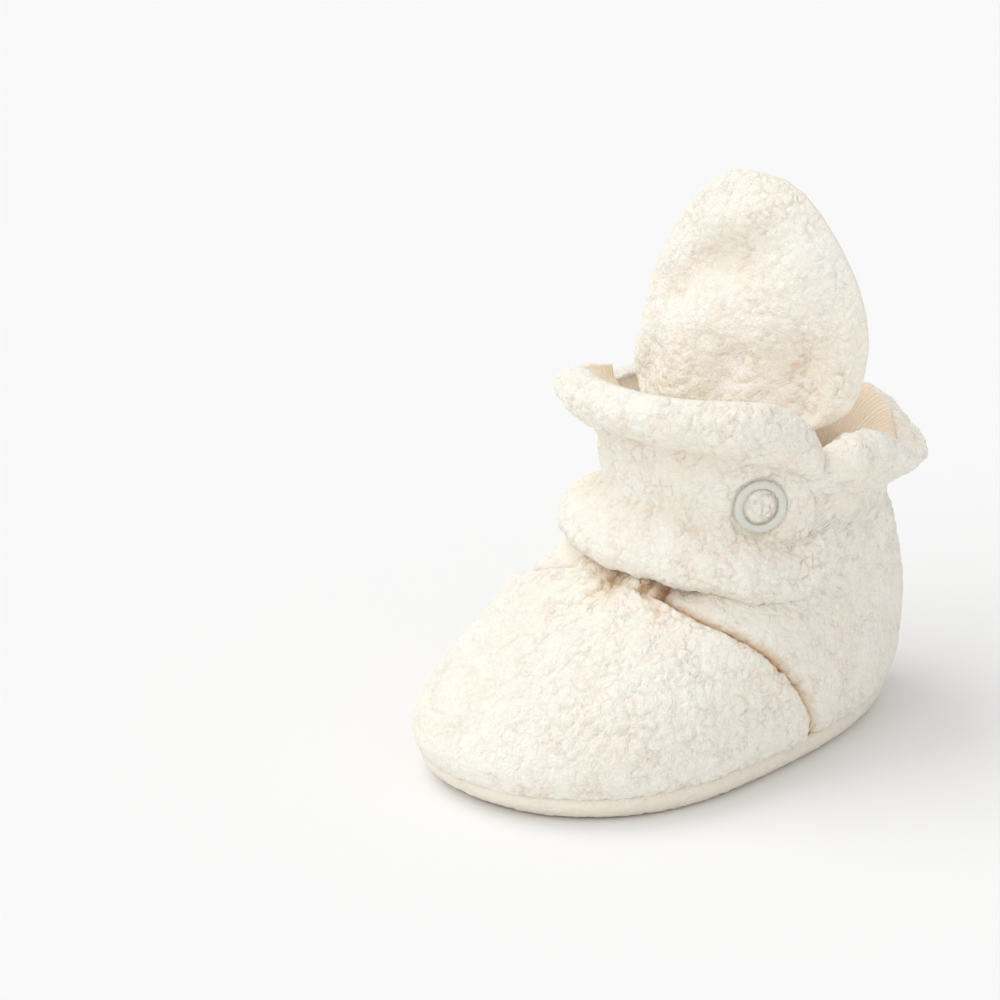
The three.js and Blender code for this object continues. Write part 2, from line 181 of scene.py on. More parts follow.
def on_outline(outline, degrees, out=0.0):
    """x and y on an outline, at angles from the toe towards the outer side, moved outwards."""
    front, back, widest, half = outline
    s, c = np.sin(np.radians(degrees)), np.cos(np.radians(degrees))
    power = np.where(c > 0, 2 / 2.15, 2 / 2.5)
    along = np.where(c > 0, widest - front, back - widest)
    x = (half + out) * np.sign(s) * np.abs(s) ** power
    y = widest - (along + out) * np.sign(c) * np.abs(c) ** power
    return x, y


def even_row(outline, start, end, count, z, out=0.0):
    """Points spaced evenly along an outline between two angles."""
    fine = np.linspace(start, end, 721)
    x, y = on_outline(outline, fine, 0)
    run = np.concatenate([[0], np.cumsum(np.hypot(np.diff(x), np.diff(y)))])
    angles = np.interp(np.linspace(0, run[-1], count), run, fine)
    x, y = on_outline(outline, angles, out)
    return np.stack([x, y, np.full(count, z)], 1), angles


def grid_normals(grid, closed):
    """Unit normals of a grid of points, whose rows may run all the way round."""
    if closed:
        across = np.roll(grid, -1, 1) - np.roll(grid, 1, 1)
    else:
        across = np.gradient(grid, axis=1)
    normals = np.cross(across, np.gradient(grid, axis=0))
    return normals / np.maximum(np.linalg.norm(normals, axis=2, keepdims=True), 1e-9)


def soften(grid, times):
    """Draws each point of a grid towards its neighbours; the edges stay."""
    for _ in range(times):
        inner = 0.5 * grid[1:-1, 1:-1] + 0.125 * (
            grid[:-2, 1:-1] + grid[2:, 1:-1] + grid[1:-1, :-2] + grid[1:-1, 2:])
        grid = grid.copy()
        grid[1:-1, 1:-1] = inner
    return grid


# How the tufts wander is drawn from one fixed seed, so that the pile is the same each time it is made.
noise.seed_set(7)


def pile(grid, normals, height, loop=2.3, seed=0.0):
    """Raises a grid into tufts of pile parted by fine creases. Also says how deep each point's crease is,
    which the fleece paints with the ground cloth's peach and with shade.
    """
    normals = soften(normals, 10)
    normals = normals / np.maximum(np.linalg.norm(normals, axis=2, keepdims=True), 1e-6)
    flat, out = grid.reshape(-1, 3), normals.reshape(-1, 3)
    rise, crease_shade = np.zeros(len(flat)), np.zeros(len(flat))
    for i, p in enumerate(flat):
        at = Vector(p) + Vector((seed, 0, 0))
        bent = at + 0.9 * noise.noise_vector(at / 2.6) + 0.25 * noise.noise_vector(at / 0.9)
        near = noise.voronoi(bent / loop)[0]
        parting = max(0.0, 1 - (near[1] - near[0]) / 0.22)
        show = min(1.0, max(0.25, 0.6 + 1.3 * noise.noise(at / 4.0)))
        crease_shade[i] = 0.55 * parting * show
        rise[i] = (0.45 - 0.75 * parting * show - 0.35 * near[0] ** 2 + 0.16 * noise.noise(at / 0.8)
                   + 0.22 * noise.noise(at / 7.0))
    moved = flat + out * (height * rise)[:, None]
    return moved.reshape(grid.shape), crease_shade.reshape(grid.shape[:2])


def closed_shell(name, outer, inner, closed, crease_shade=None):
    """A closed cloth shell between two grids of the same shape, with an attribute for the painted shade of
    its creases.
    """
    rows, columns = outer.shape[:2]
    count = rows * columns
    index = np.arange(count).reshape(rows, columns)
    nxt = np.roll(index, -1, 1)
    a, b, c, d = index[:-1], nxt[:-1], nxt[1:], index[1:]
    if not closed:
        a, b, c, d = (q[:, :-1] for q in (a, b, c, d))
    front = np.stack([a, b, c, d], -1).reshape(-1, 4)
    faces = [front, front[:, ::-1] + count]
    for row, turn in ((0, 1), (rows - 1, -1)):
        e, f = index[row], nxt[row]
        if not closed:
            e, f = e[:-1], f[:-1]
        faces.append(np.stack([f, e, e + count, f + count], -1)[:, ::turn])
    if not closed:
        for column, turn in ((0, -1), (columns - 1, 1)):
            e, f = index[:-1, column], index[1:, column]
            faces.append(np.stack([f, e, e + count, f + count], -1)[:, ::turn])
    points = np.concatenate([outer.reshape(-1, 3), inner.reshape(-1, 3)]) * MM
    faces = np.concatenate(faces)
    q = points[faces]
    volume = (np.einsum("ij,ij->i", q[:, 0], np.cross(q[:, 1], q[:, 2]))
              + np.einsum("ij,ij->i", q[:, 0], np.cross(q[:, 2], q[:, 3]))).sum()
    if volume < 0:
        faces = faces[:, ::-1]
    mesh = bpy.data.meshes.new(name)
    mesh.from_pydata(points.tolist(), [], faces.tolist())
    # The crease attribute carries painted shade for the fleece's colour.
    if crease_shade is not None:
        values = np.concatenate([crease_shade.ravel(), np.zeros(count)])
        mesh.attributes.new("crease_shade", "FLOAT", "POINT").data.foreach_set("value", values.astype(np.float32))
    mesh.shade_smooth()
    piece = bpy.data.objects.new(name, mesh)
    bpy.context.scene.collection.objects.link(piece)
    return piece


# Brushed cotton-feel cloth: a short upright nap over a fine weave, so it is matt and even.
brushed_cloth = new_material("brushed_sole_cloth")
where = add_node(brushed_cloth, "ShaderNodeTexCoord").outputs["Object"]
nap = add_node(brushed_cloth, "ShaderNodeTexNoise", {"Scale": 900, "Detail": 4}, Vector=where)
patches = add_node(brushed_cloth, "ShaderNodeTexNoise", {"Scale": 60, "Detail": 2}, Vector=where)
shades = add_node(brushed_cloth, "ShaderNodeMix", {
    "data_type": "RGBA", 6: linear("#F1E8D8"), 7: linear("#F8F2E4")}, Factor=patches.outputs["Fac"])
nap_relief = add_node(brushed_cloth, "ShaderNodeBump", {
    "Strength": 0.9, "Distance": 0.0006}, Height=nap.outputs["Fac"])
sole_shader = add_node(brushed_cloth, "ShaderNodeBsdfPrincipled", {
    "Roughness": 0.95, "Specular IOR Level": 0.15, "Sheen Weight": 0.25, "Sheen Roughness": 0.5,
}, Base_Color=shades.outputs[2], Normal=nap_relief.outputs["Normal"])
add_node(brushed_cloth, "ShaderNodeOutputMaterial", Surface=sole_shader.outputs[0])

SOLE_TURN_UP = 5.2
AROUND = 420
sole_rows = []
for reach in (0.02, 0.25, 0.45, 0.62, 0.76, 0.86, 0.93, 0.975):
    ring, _ = even_row(level(0), 0, 360 * (1 - 1 / AROUND), AROUND, 0.05)
    middle = np.array([0, 3, 0.05])
    sole_rows.append(middle + (ring - middle) * reach)
for z in np.linspace(0, SOLE_TURN_UP, 16):
    swell = 0.9 * math.sin(math.pi * min(z / SOLE_TURN_UP, 1)) ** 0.6 - 0.9 * (z / SOLE_TURN_UP) ** 6
    sole_rows.append(even_row(level(z), 0, 360 * (1 - 1 / AROUND), AROUND, z + 0.05, swell - 0.2)[0])
sole_grid = np.stack(sole_rows)
sole_normals = grid_normals(sole_grid, True)
sole_outer, sole_crease = pile(sole_grid, sole_normals, 0.34, 1.9, 40)
sole_outer[:, :, 2] = np.maximum(sole_outer[:, :, 2], 0.05)
sole_inner = sole_grid - 1.1 * sole_normals
sole_inner[:, :, 2] = np.maximum(sole_inner[:, :, 2], 1.2)
sole = closed_shell("sole_piece", sole_outer, sole_inner, True, sole_crease)
sole.data.materials.append(brushed_cloth)
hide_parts("outsole")
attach(sole, "root")


# ---------- toe piece ----------
# One piece of looped fleece from the sole over the toes, cut back to the throat and sewn to the heel piece.
# Its seams turn in, so the cloth dips into a crease along them, and it gathers into puckers under the strap.
SEAM = np.array([(9, -5), (9, 3), (7.5, 10), (3.5, 17), (-2, 24), (-9, 30), (-11, THROAT_Z + 0.1)], float)
FLEECE_THICK = 2.4
PILE = 0.62  # how high its tufts stand


def angle_at(z, y):
    """The angle at which the form's outline at a height comes to a place along the foot."""
    angles = np.linspace(2, 178, 1761)
    return float(np.interp(y, on_outline(level(z), angles)[1], angles))


def seam_angle(z):
    """Angle of the side seam at a height; above the throat it runs straight up behind the strap."""
    low = min(z, THROAT_Z - 0.6)
    return angle_at(low, float(np.interp(low, SEAM[:, 1], SEAM[:, 0])))


def edge_dip(distance, depth, width):
    """How far cloth dips at a distance from a turned-in seam."""
    return -depth * np.exp(-((distance / width) ** 1.3))


# Looped fleece, knitted cotton brushed into short curly loops: a matt, faintly fuzzy cream that goes
# peach where the loops part and the ground cloth shows through, with painted shade deepening those partings,
# creases and folds, and painted deep shadow in seams, dents and under the strap. The finest loops are bump
# alone.
def fleece_cloth(name, bright, shade, crease_shade_tint, seam_shadow_tint):
    cloth = new_material(name)
    where = add_node(cloth, "ShaderNodeTexCoord").outputs["Object"]
    depth = add_node(cloth, "ShaderNodeAttribute", {"attribute_name": "crease_shade"}).outputs["Fac"]
    wander = add_node(cloth, "ShaderNodeTexNoise", {"Scale": 420, "Detail": 3}, Vector=where)
    warp = add_node(cloth, "ShaderNodeMix", {
        "data_type": "VECTOR", "Factor": 0.0026, 4: where, 5: wander.outputs["Color"]}).outputs[1]
    tufts, curls = (
        add_node(cloth, "ShaderNodeTexVoronoi", {
            "feature": "DISTANCE_TO_EDGE", "Scale": scale}, Vector=warp).outputs["Distance"]
        for scale in (400, 950))
    fuzz = add_node(cloth, "ShaderNodeTexNoise", {"Scale": 2600, "Detail": 2}, Vector=where).outputs["Fac"]
    cover = add_node(cloth, "ShaderNodeTexNoise", {"Scale": 150, "Detail": 3}, Vector=where).outputs["Fac"]
    clouds = add_node(cloth, "ShaderNodeTexNoise", {"Scale": 70, "Detail": 3}, Vector=where).outputs["Fac"]
    parting, shown, fold_shade, seam_shadow, patches, domes, rings = (
        add_node(cloth, "ShaderNodeMapRange", {1: low, 2: high, 3: first, 4: last}, Value=source).outputs[0]
        for source, low, high, first, last in (
            (tufts, 0.0, 0.13, 1.0, 0.0), (cover, 0.42, 0.68, 0.0, 0.28), (depth, 0.25, 1.2, 0.0, 0.9),
            (depth, 0.9, 2.0, 0.0, 0.9), (clouds, 0.35, 0.65, 0.0, 1.0), (tufts, 0.0, 0.35, 0.0, 1.0),
            (curls, 0.0, 0.3, 0.0, 0.5)))
    cracks = add_node(cloth, "ShaderNodeMath", {"operation": "MULTIPLY", 0: parting, 1: shown}).outputs[0]
    shaded_creases = add_node(cloth, "ShaderNodeMath", {"operation": "MAXIMUM", 0: cracks, 1: fold_shade}).outputs[0]
    colour = linear(shade)
    # Painted shade: the crease tint darkens partings, creases and folds; the seam tint darkens seams, dents
    # and hollows.
    for share, over in ((patches, bright), (shaded_creases, crease_shade_tint), (seam_shadow, seam_shadow_tint)):
        colour = add_node(cloth, "ShaderNodeMix", {
            "data_type": "RGBA", 0: share, 6: colour, 7: linear(over)}).outputs[2]
    relief = add_node(cloth, "ShaderNodeMath", {"operation": "ADD", 0: domes, 1: rings}).outputs[0]
    relief = add_node(cloth, "ShaderNodeMath", {
        "operation": "MULTIPLY_ADD", 0: fuzz, 1: 0.5, 2: relief}).outputs[0]
    bump = add_node(cloth, "ShaderNodeBump", {"Strength": 0.5, "Distance": 0.0006}, Height=relief)
    shader = add_node(cloth, "ShaderNodeBsdfPrincipled", {
        "Roughness": 1.0, "Specular IOR Level": 0.05, "Sheen Weight": 0.1, "Sheen Roughness": 0.6,
        "Sheen Tint": linear("#FFF8EC"), "Subsurface Weight": 0.25, "Subsurface Scale": 0.0012,
        "Subsurface Radius": (1.0, 0.75, 0.5),
    }, Base_Color=colour, Normal=bump.outputs["Normal"])
    add_node(cloth, "ShaderNodeOutputMaterial", Surface=shader.outputs[0])
    return cloth


# The last two colours are painted shade: in the pile's partings and creases, and deep in seams and hollows.
cream_fleece = fleece_cloth("looped_cream_fleece", "#FDF9EF", "#FBF4E7", "#E6CBAB", "#C39A70")


def ripples(x, y, z):
    """Smooth uneven values between about -1 and 1, at places that may be grids, rows or single numbers."""
    x, y, z = np.broadcast_arrays(x, y, z)
    values = [noise.noise(Vector(place)) for place in zip(x.ravel(), y.ravel(), z.ravel())]
    return np.array(values).reshape(x.shape)


def panel_grid(zs, start_of, end_of, columns, out_of):
    """Rows of points up a piece of cloth on the foot's form between two angles, and the points' angles."""
    rows, angles = [], []
    for z in zs:
        row, at = even_row(level(z), start_of(z), end_of(z), columns, z)
        rows.append(row)
        angles.append(at)
    grid, angles = np.stack(rows), np.stack(angles)
    for i, z in enumerate(zs):
        x, y = on_outline(level(z), angles[i], out_of(z, angles[i]))
        grid[i, :, 0], grid[i, :, 1] = x, y
    return grid, angles


def heights_along(low, high, step, front_share):
    """Heights that space the rows of a sloping piece evenly, between the slope's front and its sides."""
    fine = np.linspace(low, high, 400)
    fronts = np.array([level(z)[0] for z in fine])
    run = np.concatenate([[0], np.cumsum(np.hypot(np.diff(fronts) * front_share, np.diff(fine)))])
    return np.interp(np.linspace(0, run[-1], int(run[-1] / step)), run, fine)


THROAT_TOP = 40.5  # the toe piece and the heel piece's fronts go on up behind the strap's flap


def tuck(z, degrees):
    """How far the cloth behind the strap lies in from the form."""
    front = np.clip((76 - np.abs((np.asarray(degrees) + 180) % 360 - 180)) / 10, 0, 1)
    return -2.4 * front * np.clip((z - THROAT_Z) / (THROAT_TOP - THROAT_Z), 0, 1)


toe_zs = heights_along(SOLE_TURN_UP - 1.2, THROAT_TOP, 0.42, 0.75)
SEAM_LAP = 0.5  # degrees the toe and heel pieces pass each other by, inside the crease of their seam
toe_grid, toe_angles = panel_grid(
    toe_zs, lambda z: -seam_angle(z) - SEAM_LAP, lambda z: seam_angle(z) + SEAM_LAP, 250, tuck)
toe_flat = toe_grid.copy()
toe_normals = grid_normals(toe_grid, False)
if toe_normals[len(toe_zs) // 2, 125, 1] > 0:
    toe_normals = -toe_normals
row_length = np.linalg.norm(np.diff(toe_grid, axis=1), axis=2).sum(1)[:, None]
place = np.linspace(0, 1, 250)[None, :]
from_seam = np.minimum(place, 1 - place) * row_length
from_sole = (toe_zs - toe_zs[0])[:, None]
from_throat = np.abs(THROAT_Z + 0.5 - toe_zs)[:, None] * 2.2
swell = (edge_dip(from_seam, 2.9, 1.9) + edge_dip(from_sole, 1.7, 1.3) + 0.5
         + 0.9 * np.exp(-(((from_seam - 5) / 4) ** 2)))
gather = (ripples(toe_angles[-1] / 9.0, 3.1, 0) + 0.6 * ripples(toe_angles[-1] / 4.2, 8.7, 0))[None, :]
swell = swell + 2.4 * gather * np.exp(-from_throat / 9.0) + 0.8 * np.exp(-(((from_throat - 14) / 8) ** 2))
toe_shaped = toe_grid + toe_normals * swell[:, :, None]
toe_out = grid_normals(toe_shaped, False)
toe_out *= np.sign((toe_out * toe_normals).sum(2, keepdims=True))
toe_outer, toe_crease_shade = pile(toe_shaped, toe_out, PILE)
# Painted shade along the seams and the sole, in the puckers' hollows under the strap and near the throat
# behind it.
seam_shade = 2.4 * np.exp(-from_seam / 1.3) + np.exp(-from_sole / 0.8) * 0.6
toe_crease_shade = np.clip(
    toe_crease_shade + seam_shade + 1.6 * np.clip(-gather + 0.1, 0, 1) * np.exp(-from_throat / 9.0)
    + 0.5 * np.exp(-from_throat / 4.0), 0, 2)
toe_inner = toe_flat - toe_normals * FLEECE_THICK
toe = closed_shell("toe_piece", toe_outer, toe_inner, False, toe_crease_shade)
toe.data.materials.append(cream_fleece)
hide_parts("toe_shell")
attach(toe, "root")


# ---------- heel piece ----------
# Looped fleece from one side seam round the heel to the other, drawn in round the ankle by a hidden elastic.
# Above the elastic it spreads into a soft rolled collar that starts behind the strap's free end.
COLLAR_FRONT = 11.5
COLLAR_FOOT = 47.5  # height where the collar starts to stand out
END_DIP, END_RUN = 8, 9  # how far the collar's ends dip behind the strap, and over what run
RIM_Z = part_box("heel_shell")[1][2] / MM
COLLAR_ROLL = np.array([  # height and how far the collar stands out from the snapped band
    (40.0, 0.0), (46.0, 0.2), (48.5, 1.6), (50.5, 4.6), (53.0, 7.4), (55.5, 8.6), (57.5, 8.2), (58.9, 6.8),
    (59.7, 5.2), (59.8, 3.8), (59.2, 2.9),
])
COLLAR_DROP = np.array([  # angle and how far the rim dips below its full height
    (60, 0), (92, 0), (101, 1.2), (110, 4.5), (120, 7.2), (135, 8.0), (150, 5.0), (165, 1.5), (180, 0),
    (205, 1), (225, 4), (240, 4.5), (258, 1), (300, 0),
])
heel_rows_z = list(np.arange(SOLE_TURN_UP - 1.2, 40.0, 0.55))
roll_run = np.concatenate([[0], np.cumsum(np.hypot(*np.diff(COLLAR_ROLL, axis=0).T))])
roll_at = np.linspace(0, roll_run[-1], int(roll_run[-1] / 0.55))
roll_z = np.interp(roll_at, roll_run, COLLAR_ROLL[:, 0])
roll_out = np.interp(roll_at, roll_run, COLLAR_ROLL[:, 1])
kernel = np.hanning(9) / np.hanning(9).sum()
roll_z[4:-4] = np.convolve(roll_z, kernel, "valid")
roll_out[4:-4] = np.convolve(roll_out, kernel, "valid")


def heel_edge(z):
    """Angle where the heel piece begins: the side seam, then a sweep back behind the strap's free end."""
    low = seam_angle(z) - SEAM_LAP - 5 * np.clip((z - 30) / 6, 0, 1)
    back = np.clip((z - 38.5) / 7.5, 0, 1)
    return low + (angle_at(min(z, 46.0), COLLAR_FRONT) - low) * back * back * (3 - 2 * back)


HEEL_COLUMNS = 300
heel_rows, heel_angles = [], []
for z in heel_rows_z:
    row, at = even_row(level(z), heel_edge(z), 360 - heel_edge(z), HEEL_COLUMNS, z)
    row[:, 0], row[:, 1] = on_outline(level(z), at, tuck(z, at))
    heel_rows.append(row)
    heel_angles.append(at)
for z, out in zip(roll_z, roll_out):
    edge = heel_edge(z)
    row, at = even_row(level(z), edge, 360 - edge, HEEL_COLUMNS, z)
    along = np.linspace(0, 1, HEEL_COLUMNS)
    run = np.minimum(along, 1 - along) * np.linalg.norm(np.diff(row, axis=0), axis=1).sum()
    spread = np.clip((run - 1.0) / 7.0, 0, 1) ** 0.8  # the collar's ends lie flat behind the strap
    row[:, 0], row[:, 1] = on_outline(level(z), at, out * spread - 4.4 * (1 - spread))
    heel_rows.append(row)
    heel_angles.append(at)
heel_flat, heel_angles = np.stack(heel_rows), np.stack(heel_angles)
heel_all_z = np.concatenate([heel_rows_z, roll_z])
heel_normals = grid_normals(heel_flat, False)
if heel_normals[20, HEEL_COLUMNS // 2, 1] < 0:
    heel_normals = -heel_normals
heel_length = np.linalg.norm(np.diff(heel_flat, axis=1), axis=2).sum(1)[:, None]
place = np.linspace(0, 1, HEEL_COLUMNS)[None, :]
from_side = np.minimum(place, 1 - place) * heel_length
from_sole = (heel_all_z - heel_all_z[0])[:, None]
from_elastic = np.abs(heel_all_z - NECK_Z)[:, None]
up = heel_all_z[:, None]
ruck = ripples(heel_angles / 5.5, up / 26.0, 1.7) + 0.6 * ripples(heel_angles / 2.7, up / 16.0, 5.2)
above_elastic = (np.arange(len(heel_all_z)) >= len(heel_rows_z))[:, None]
on_collar = np.clip((heel_all_z - COLLAR_FOOT) / 4, 0, 1)[:, None] * above_elastic
wave = ripples(heel_angles / 21.0, 2.2, up / 30.0)
swell = (edge_dip(from_side, 2.6, 1.7) + edge_dip(from_sole, 1.7, 1.3) + 0.5
         + 1.25 * ruck * np.exp(-((from_elastic / 11.0) ** 2)) * (1 - 0.55 * on_collar) + 0.55 * ruck
         + 1.8 * wave * on_collar)
heel_shaped = heel_flat + heel_normals * swell[:, :, None]
rim_share = np.clip((heel_all_z - COLLAR_FOOT) / (RIM_Z - COLLAR_FOOT), 0, 1)[:, None] * above_elastic
heel_shaped[:, :, 2] += (1.3 * wave + 1.0) * on_collar - rim_share * np.interp(
    heel_angles, COLLAR_DROP[:, 0], COLLAR_DROP[:, 1])
heel_shaped[:, :, 2] -= END_DIP * rim_share * np.clip(1 - from_side / END_RUN, 0, 1)
heel_shaped = soften(heel_shaped, 8)
turned = soften(grid_normals(heel_shaped, False), 4)
turned *= np.sign((turned * heel_normals).sum(2, keepdims=True))
heel_outer, heel_crease_shade = pile(heel_shaped, turned, PILE)
# Painted shade along the side seams and the sole, and in the rucks' hollows round the elastic.
seam_shade = 2.4 * np.exp(-from_side / 1.3) * (heel_all_z < 42)[:, None] + 0.6 * np.exp(-from_sole / 0.8)
heel_crease_shade = np.clip(heel_crease_shade + seam_shade
                      + 0.8 * np.clip(-ruck - 0.15, 0, 1) * np.exp(-((from_elastic / 14.0) ** 2)), 0, 2)
heel_inner = heel_shaped - turned * FLEECE_THICK
heel = closed_shell("heel_piece", heel_outer, heel_inner, False, heel_crease_shade)
heel.data.materials.append(cream_fleece)
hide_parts("heel_shell")
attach(heel, "root")


# ---------- ankle elastic ----------
# A flat ribbed elastic six millimetres wide, stretched as it is sewn inside the heel piece, so that
# the fleece rucks up round the ankle.
def on_uv_ribs(name, light, groove_shade, pitch, depth, direction="X"):
    """Knitted or woven cloth with ribs across its flat layout, which is in millimetres, with painted shade
    in the grooves between the ribs.
    """
    cloth = new_material(name)
    run = add_node(cloth, "ShaderNodeUVMap", {"uv_map": "cloth"}).outputs["UV"]
    ribs = add_node(cloth, "ShaderNodeTexWave", {
        "bands_direction": direction, "Scale": 0.314 / pitch, "Distortion": 0.5, "Detail": 1.5,
        "Detail Scale": 2.0}, Vector=run).outputs["Fac"]
    stitches = add_node(cloth, "ShaderNodeTexNoise", {"Scale": 1.6, "Detail": 4}, Vector=run).outputs["Fac"]
    # The grooves between ribs are painted darker, as shade.
    mixed = add_node(cloth, "ShaderNodeMix", {
        "data_type": "RGBA", 0: ribs, 6: linear(groove_shade), 7: linear(light)})
    both = add_node(cloth, "ShaderNodeMath", {"operation": "ADD", 0: ribs, 1: stitches})
    bump = add_node(cloth, "ShaderNodeBump", {"Strength": 0.5, "Distance": depth}, Height=both.outputs[0])
    shader = add_node(cloth, "ShaderNodeBsdfPrincipled", {
        "Roughness": 0.92, "Specular IOR Level": 0.12, "Sheen Weight": 0.12, "Sheen Roughness": 0.5,
    }, Base_Color=mixed.outputs[2], Normal=bump.outputs["Normal"])
    add_node(cloth, "ShaderNodeOutputMaterial", Surface=shader.outputs[0])
    return cloth


def lay_out(piece, across, along):
    """Gives a piece a flat layout in millimetres, so that a knit follows it."""
    layer = piece.data.uv_layers.new(name="cloth")
    index = np.zeros(len(piece.data.loops), int)
    piece.data.loops.foreach_get("vertex_index", index)
    layer.data.foreach_set("uv", np.stack([across[index], along[index]], 1).astype(np.float32).ravel())


def cloth_layout(piece, grid):
    """Lays a two-sided shell out by the length of its longest row and of its columns."""
    across = np.cumsum(np.linalg.norm(np.diff(grid, axis=1, prepend=grid[:, :1]), axis=2), 1)
    along = np.cumsum(np.linalg.norm(np.diff(grid, axis=0, prepend=grid[:1]), axis=2), 0)
    longest = across[np.argmax(across[:, -1])]
    lay_out(piece, np.tile(longest, 2 * len(grid)), np.tile(along.ravel(), 2))


def facing_out(grid):
    """Normals of a grid that stands round the ankle, pointing away from it."""
    normals = grid_normals(grid, False)
    away = grid[:, :, :2] - np.array([0, NECK[2]])
    return normals if (normals[:, :, :2] * away).sum() > 0 else -normals


# Cotton-covered elastic webbing: natural white, ribbed along its length.
# The darker colour is painted shade in the rib grooves.
elastic_webbing = on_uv_ribs("ribbed_elastic_webbing", "#F3EFE6", "#DCD5C6", 0.9, 0.0004, "Y")
elastic_low, elastic_high = (c[2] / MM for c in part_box("ankle_elastic"))
ELASTIC_DEPTH, ELASTIC_THICK = 2.5, 0.5  # in from the fleece's form
elastic_at = [i for i in range(len(heel_rows_z), len(heel_all_z))
              if elastic_low <= heel_all_z[i] <= elastic_high]
columns = np.flatnonzero((heel_shaped[elastic_at, :, 1] > 30).all(0))
elastic_face = heel_shaped[elastic_at][:, columns]
elastic_face = elastic_face - facing_out(elastic_face) * ELASTIC_DEPTH
elastic = closed_shell(
    "ankle_elastic_piece", elastic_face, elastic_face - facing_out(elastic_face) * ELASTIC_THICK, False)
cloth_layout(elastic, elastic_face)
elastic.data.materials.append(elastic_webbing)
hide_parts("ankle_elastic")
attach(elastic, "root")


# ---------- linings ----------
# Fine ribbed cotton jersey, pale peach, sewn to the collar's edge and down to the footbed.
# Its ribs run up the leg, one every millimetre or so, and show where the collar spreads open.
# The darker colour is painted shade in the rib grooves.
peach_jersey = on_uv_ribs("peach_ribbed_jersey", "#FFF4E2", "#FEE9D0", 1.1, 0.0003)
LINING_THICK = 0.9
LINING_FLARE = np.array([  # height and how far the lining stands out from the snapped band, up to the rim
    (42.5, -3.6), (47.5, -3.5), (51.0, -2.2), (54.5, -0.4), (57.0, 1.2), (58.6, 2.5), (59.4, 3.5),
    (59.7, 4.3),
])
flare = np.linspace(0, len(LINING_FLARE) - 1, 32)
flare_z, flare_out = (np.interp(flare, np.arange(len(LINING_FLARE)), LINING_FLARE[:, k]) for k in (0, 1))
lining_at = heel_angles[-1][::2]
rim_run = from_side[-1][::2]
lining_spread = np.clip((rim_run - 1.0) / 7.0, 0, 1) ** 0.8
flare_rows = []
for z, out in zip(flare_z, flare_out):
    on = np.clip((z - COLLAR_FOOT) / 4, 0, 1)
    ripple = ripples(lining_at / 21.0, 2.2, z / 30.0)
    out = out * lining_spread - 5.2 * (1 - lining_spread) + 1.6 * ripple * on
    x, y = on_outline(level(z), lining_at, out)
    dip = np.interp(lining_at, COLLAR_DROP[:, 0], COLLAR_DROP[:, 1])
    dip = dip + END_DIP * np.clip(1 - rim_run / END_RUN, 0, 1)
    drop = np.clip((z - COLLAR_FOOT) / (RIM_Z - COLLAR_FOOT), 0, 1) * dip
    flare_rows.append(np.stack([x, y, z + (1.3 * ripple + 1.0) * on - drop], 1))
to_rim = np.clip((np.linspace(0, 1, 32) - 0.65) / 0.35, 0, 1)[:, None, None]  # ends on the fleece's edge
flare_rows = np.stack(flare_rows) * (1 - to_rim) + heel_shaped[-3, ::2] * to_rim
low_rows = np.arange(6, len(heel_rows_z), 2)
lining_grid = np.concatenate([heel_shaped[low_rows][:, ::2] - turned[low_rows][:, ::2] * 3.2, flare_rows])
heel_lining = closed_shell(
    "heel_lining_piece", lining_grid, lining_grid - facing_out(lining_grid) * LINING_THICK, False)
cloth_layout(heel_lining, lining_grid)
toe_lining_grid = (toe_flat - toe_normals * 2.7)[6:-6:2, ::2]
toe_lining = closed_shell(
    "toe_lining_piece", toe_lining_grid, toe_lining_grid - toe_normals[6:-6:2, ::2] * LINING_THICK, False)
cloth_layout(toe_lining, toe_lining_grid)
for piece, node in ((heel_lining, "heel_lining"), (toe_lining, "toe_lining")):
    piece.data.materials.append(peach_jersey)
    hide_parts(node)
    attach(piece, "root")


# ---------- sole padding and insole ----------
# A sheet of soft wadding lies on the outsole under a jersey footbed, both cut to the foot's outline.
def footbed(name, low, high, inset, reaches):
    """A soft flat pad from one height to another, a little rounded at its edge and quilted by use."""
    faces = []
    for z, side in ((high, 1), (low, -1)):
        rows = []
        for reach in reaches:
            ring, _ = even_row(level((low + high) / 2), 0, 360 - 360 / 180, 180, z, -inset)
            middle = np.array([0, 3, z])
            row = middle + (ring - middle) * reach
            row[:, 2] += side * (0.25 - 0.45 * (high - low) * max(0, (reach - 0.94) / 0.06) ** 2)
            row[:, 2] += [side * 0.18 * noise.noise(Vector(p) / 6) for p in row]
            rows.append(row)
        faces.append(np.stack(rows))
    piece = closed_shell(name, faces[0], faces[1], True)
    lay_out(piece, *(np.concatenate([f[:, :, k].ravel() for f in faces]) for k in (0, 1)))
    return piece


# Polyester wadding: white crimped fibres, lofty and uneven.
wadding = new_material("white_wadding")
where = add_node(wadding, "ShaderNodeTexCoord").outputs["Object"]
fibres = add_node(wadding, "ShaderNodeTexNoise", {"Scale": 900, "Detail": 5, "Roughness": 0.7}, Vector=where)
lofts = add_node(wadding, "ShaderNodeTexNoise", {"Scale": 160, "Detail": 2}, Vector=where)
wadding_shade = add_node(wadding, "ShaderNodeMix", {
    "data_type": "RGBA", 6: linear("#E9E7E1"), 7: linear("#F8F7F3")}, Factor=lofts.outputs["Fac"])
fibre_relief = add_node(wadding, "ShaderNodeBump", {
    "Strength": 0.8, "Distance": 0.0006}, Height=fibres.outputs["Fac"])
wadding_shader = add_node(wadding, "ShaderNodeBsdfPrincipled", {
    "Roughness": 1.0, "Specular IOR Level": 0.05, "Sheen Weight": 0.2,
}, Base_Color=wadding_shade.outputs[2], Normal=fibre_relief.outputs["Normal"])
add_node(wadding, "ShaderNodeOutputMaterial", Surface=wadding_shader.outputs[0])

